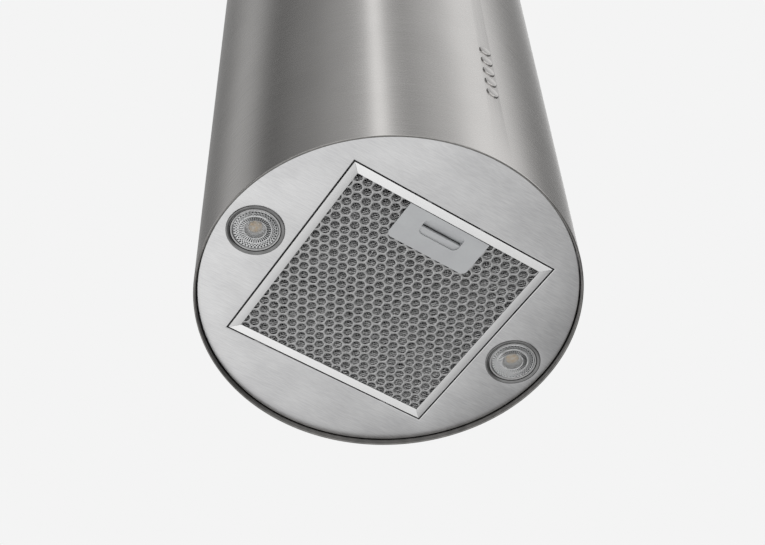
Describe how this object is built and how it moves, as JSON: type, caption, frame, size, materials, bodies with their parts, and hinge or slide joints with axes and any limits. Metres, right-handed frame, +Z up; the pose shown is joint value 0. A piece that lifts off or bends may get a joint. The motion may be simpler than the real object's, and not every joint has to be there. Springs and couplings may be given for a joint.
{
  "type": "island range hood",
  "caption": "Round tubular island cooker hood in brushed steel, hung from the ceiling by a telescopic tube, with a hinged square grease filter, recessed lamps and push buttons.",
  "frame": {"origin": "middle of the ceiling plate's top face, on the tube's axis", "axes": "+Z up along the tube, -Y towards the front with the push buttons, +X to the right, along the line of the two lamps"},
  "size_m": [0.39, 0.3916, 0.75],
  "materials": {
    "brushed_steel": "brushed stainless steel, vertical grain",
    "panel_steel": "brushed stainless steel, grain along X",
    "filter_aluminium": "natural extruded aluminium",
    "filter_sheet": "perforated aluminium sheet",
    "mesh_aluminium": "expanded aluminium mesh",
    "satin_handle": "satin grey lacquered metal",
    "galvanised_steel": "galvanised sheet steel",
    "plain_steel": "plain machined steel",
    "lamp_trim_chrome": "polished chromed steel",
    "lamp_aluminium": "die-cast aluminium",
    "lens_clear": "clear moulded lens",
    "lamp_ceramic": "unglazed ceramic",
    "black_plastic": "moulded plastic",
    "grey_plastic": "moulded plastic",
    "circuit_board": "glass-fibre board with solder mask",
    "copper_winding": "enamelled copper wire",
    "cable_jacket": "soft cable jacket"
  },
  "bodies": {
    "ceiling_frame": {"ceiling_plate": "galvanised_steel", "upper_tube": "brushed_steel", "upper_post_1": "galvanised_steel", "upper_post_2": "galvanised_steel", "upper_post_3": "galvanised_steel", "upper_post_4": "galvanised_steel"},
    "hood": {"bottom_panel": "panel_steel", "button_housing": "black_plastic", "cable_gland": "black_plastic", "carrier_plate": "galvanised_steel", "electronics_box": "grey_plastic", "electronics_cover": "grey_plastic", "flap_pin": "plain_steel", "height_bolt_1": "plain_steel", "height_bolt_2": "plain_steel", "height_bolt_3": "plain_steel", "height_bolt_4": "plain_steel", "lamp_cable_left": "cable_jacket", "lamp_cable_right": "cable_jacket", "lamp_socket_left": "lamp_ceramic", "lamp_socket_right": "lamp_ceramic", "lamp_trim_left": "lamp_trim_chrome", "lamp_trim_right": "lamp_trim_chrome", "lower_post_1": "galvanised_steel", "lower_post_2": "galvanised_steel", "lower_post_3": "galvanised_steel", "lower_post_4": "galvanised_steel", "lower_tube": "brushed_steel", "motor_bearing_front": "plain_steel", "motor_bearing_rear": "plain_steel", "motor_bracket": "galvanised_steel", "motor_can": "galvanised_steel", "motor_stator": "copper_winding", "outlet_collar": "black_plastic", "scroll_housing_front": "grey_plastic", "scroll_housing_rear": "grey_plastic", "switch_board": "circuit_board"},
    "fan": {"fan_wheel": "black_plastic", "motor_shaft": "plain_steel"},
    "left_flap": {"flap_left": "black_plastic"},
    "right_flap": {"flap_right": "black_plastic"},
    "filter": {"filter_rail_front": "filter_aluminium", "filter_rail_right": "filter_aluminium", "filter_rail_rear": "filter_aluminium", "filter_rail_left": "filter_aluminium", "filter_face_sheet": "filter_sheet", "filter_mesh_pack": "mesh_aluminium", "filter_back_sheet": "filter_sheet", "handle_plate": "satin_handle", "latch_spring": "plain_steel"},
    "latch": {"latch_slider": "satin_handle"},
    "left_lamp": {"lamp_body_left": "lamp_aluminium", "lamp_lens_left": "lens_clear"},
    "right_lamp": {"lamp_body_right": "lamp_aluminium", "lamp_lens_right": "lens_clear"},
    "button_1": {"push_button_1": "brushed_steel"},
    "button_2": {"push_button_2": "brushed_steel"},
    "button_3": {"push_button_3": "brushed_steel"},
    "button_4": {"push_button_4": "brushed_steel"},
    "button_5": {"push_button_5": "brushed_steel"}
  },
  "joints": [
    {"name": "height_adjust", "type": "slide", "parent": "ceiling_frame", "child": "hood", "axis": [0, 0, 1], "range_m": [-0.18, 0.06]},
    {"name": "fan_spin", "type": "hinge", "parent": "hood", "child": "fan", "pos_m": [-0.06475, 0, -0.566], "axis": [0, 1, 0], "continuous": true},
    {"name": "left_flap_swing", "type": "hinge", "parent": "hood", "child": "left_flap", "pos_m": [0, 0, -0.432], "axis": [0, 1, 0], "range_deg": [0, 75]},
    {"name": "right_flap_swing", "type": "hinge", "parent": "hood", "child": "right_flap", "pos_m": [0, 0, -0.432], "axis": [0, -1, 0], "range_deg": [0, 75]},
    {"name": "filter_swing", "type": "hinge", "parent": "hood", "child": "filter", "pos_m": [0, 0.115, -0.7415], "axis": [1, 0, 0], "range_deg": [0, 80]},
    {"name": "latch_slide", "type": "slide", "parent": "filter", "child": "latch", "axis": [0, 1, 0], "range_m": [0, 0.005], "stiffness_N_per_m": 500, "springref_m": -0.004, "deforming": ["latch_spring"]},
    {"name": "left_lamp_twist", "type": "hinge", "parent": "hood", "child": "left_lamp", "pos_m": [-0.1555, 0, -0.72], "axis": [0, 0, -1], "range_deg": [0, 30]},
    {"name": "right_lamp_twist", "type": "hinge", "parent": "hood", "child": "right_lamp", "pos_m": [0.1555, 0, -0.72], "axis": [0, 0, -1], "range_deg": [0, 30]},
    {"name": "button_1_press", "type": "slide", "parent": "hood", "child": "button_1", "axis": [0, 1, 0], "range_m": [0, 0.0015], "stiffness_N_per_m": 900, "springref_m": -0.001},
    {"name": "button_2_press", "type": "slide", "parent": "hood", "child": "button_2", "axis": [0, 1, 0], "range_m": [0, 0.0015], "stiffness_N_per_m": 900, "springref_m": -0.001},
    {"name": "button_3_press", "type": "slide", "parent": "hood", "child": "button_3", "axis": [0, 1, 0], "range_m": [0, 0.0015], "stiffness_N_per_m": 900, "springref_m": -0.001},
    {"name": "button_4_press", "type": "slide", "parent": "hood", "child": "button_4", "axis": [0, 1, 0], "range_m": [0, 0.0015], "stiffness_N_per_m": 900, "springref_m": -0.001},
    {"name": "button_5_press", "type": "slide", "parent": "hood", "child": "button_5", "axis": [0, 1, 0], "range_m": [0, 0.0015], "stiffness_N_per_m": 900, "springref_m": -0.001}
  ]
}
